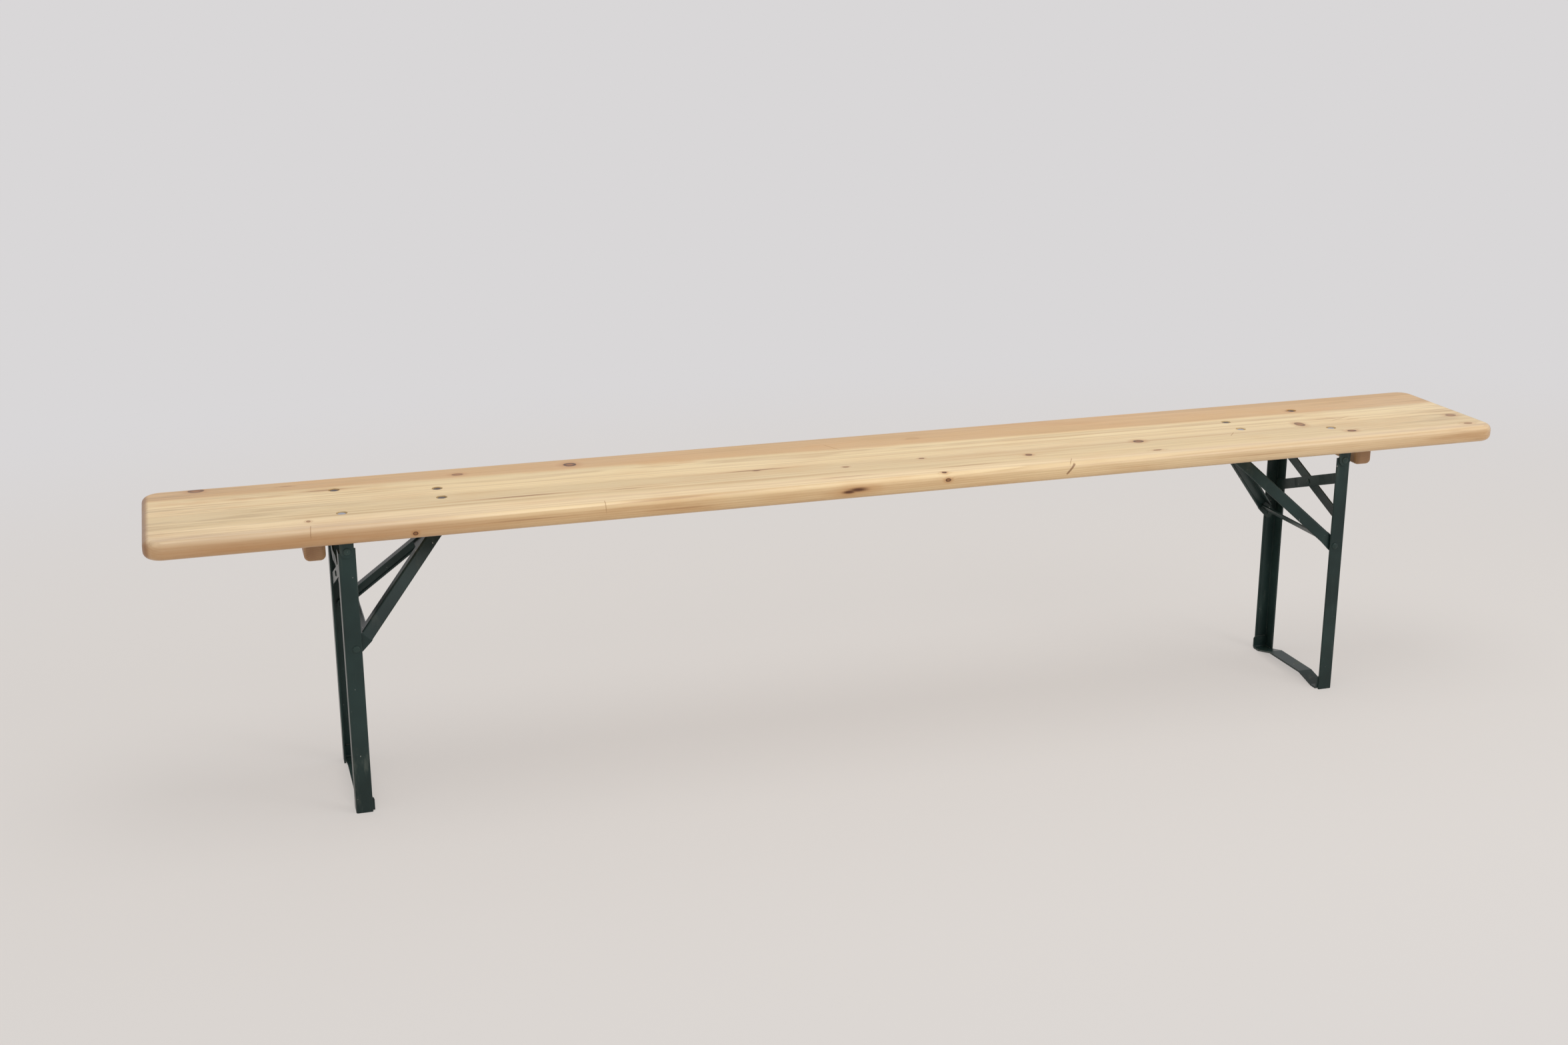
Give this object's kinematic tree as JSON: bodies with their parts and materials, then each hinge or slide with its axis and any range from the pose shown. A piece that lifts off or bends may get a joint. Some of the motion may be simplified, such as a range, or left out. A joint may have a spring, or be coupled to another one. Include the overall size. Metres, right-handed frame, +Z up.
{
  "type": "folding bench",
  "caption": "Wooden plank bench on two steel leg frames that fold flat under the seat, each braced by a folding triangle whose tip hooks into a catch.",
  "frame": {"origin": "on the floor under the middle of the plank", "axes": "+X along the plank, +Y across it towards the back, +Z up"},
  "size_m": [2.2, 0.272, 0.457],
  "materials": {
    "pale_board": "clear lacquer, satin",
    "peach_board": "clear lacquer, satin",
    "cleat_wood": "clear lacquer, satin",
    "painted_steel": "dark green paint, satin",
    "rivet_steel": "dark green paint, satin",
    "plated_bolts": "zinc plated, dull",
    "spring_steel": "blued spring steel"
  },
  "bodies": {
    "seat": {"seat_board_front": "pale_board", "seat_board_middle": "pale_board", "seat_board_rear": "peach_board", "hinge_bolts": "plated_bolts", "hinge_nuts": "plated_bolts", "catch_bolts": "plated_bolts", "catch_nuts": "plated_bolts", "cleat_screws": "plated_bolts", "catch_leaf_rivets": "rivet_steel", "right_cleat": "cleat_wood", "right_hinge_strap": "painted_steel", "right_hinge_rivets": "rivet_steel", "right_catch_plate": "painted_steel", "right_catch_leaf": "spring_steel", "left_cleat": "cleat_wood", "left_hinge_strap": "painted_steel", "left_hinge_rivets": "rivet_steel", "left_catch_plate": "painted_steel", "left_catch_leaf": "spring_steel"},
    "right_leg": {"right_leg_front": "painted_steel", "right_leg_rear": "painted_steel", "right_cross_bar_outer": "painted_steel", "right_cross_bar_inner": "painted_steel", "right_cross_rivet": "rivet_steel", "right_foot_bar": "painted_steel", "right_brace_rivets": "rivet_steel"},
    "left_leg": {"left_leg_front": "painted_steel", "left_leg_rear": "painted_steel", "left_cross_bar_outer": "painted_steel", "left_cross_bar_inner": "painted_steel", "left_cross_rivet": "rivet_steel", "left_foot_bar": "painted_steel", "left_brace_rivets": "rivet_steel"},
    "right_brace": {"right_brace_arm_front": "painted_steel", "right_brace_arm_rear": "painted_steel", "right_brace_base_bar": "painted_steel", "right_brace_hook": "painted_steel"},
    "left_brace": {"left_brace_arm_front": "painted_steel", "left_brace_arm_rear": "painted_steel", "left_brace_base_bar": "painted_steel", "left_brace_hook": "painted_steel"}
  },
  "joints": [
    {"name": "right_leg_fold", "type": "hinge", "parent": "seat", "child": "right_leg", "pos_m": [0.8215, 0, 0.4125], "axis": [0, 1, 0], "range_deg": [0, 90]},
    {"name": "left_leg_fold", "type": "hinge", "parent": "seat", "child": "left_leg", "pos_m": [-0.8215, 0, 0.4125], "axis": [0, -1, 0], "range_deg": [0, 90]},
    {"name": "right_brace_fold", "type": "hinge", "parent": "right_leg", "child": "right_brace", "pos_m": [0.8175, 0, 0.261], "axis": [0, -1, 0], "range_deg": [0, 135.68]},
    {"name": "left_brace_fold", "type": "hinge", "parent": "left_leg", "child": "left_brace", "pos_m": [-0.8175, 0, 0.261], "axis": [0, 1, 0], "range_deg": [0, 135.68]}
  ],
  "couplings": [
    {"joint": "right_brace_fold", "follows": "right_leg_fold", "ratio": 1.5074},
    {"joint": "left_brace_fold", "follows": "left_leg_fold", "ratio": 1.5074}
  ]
}
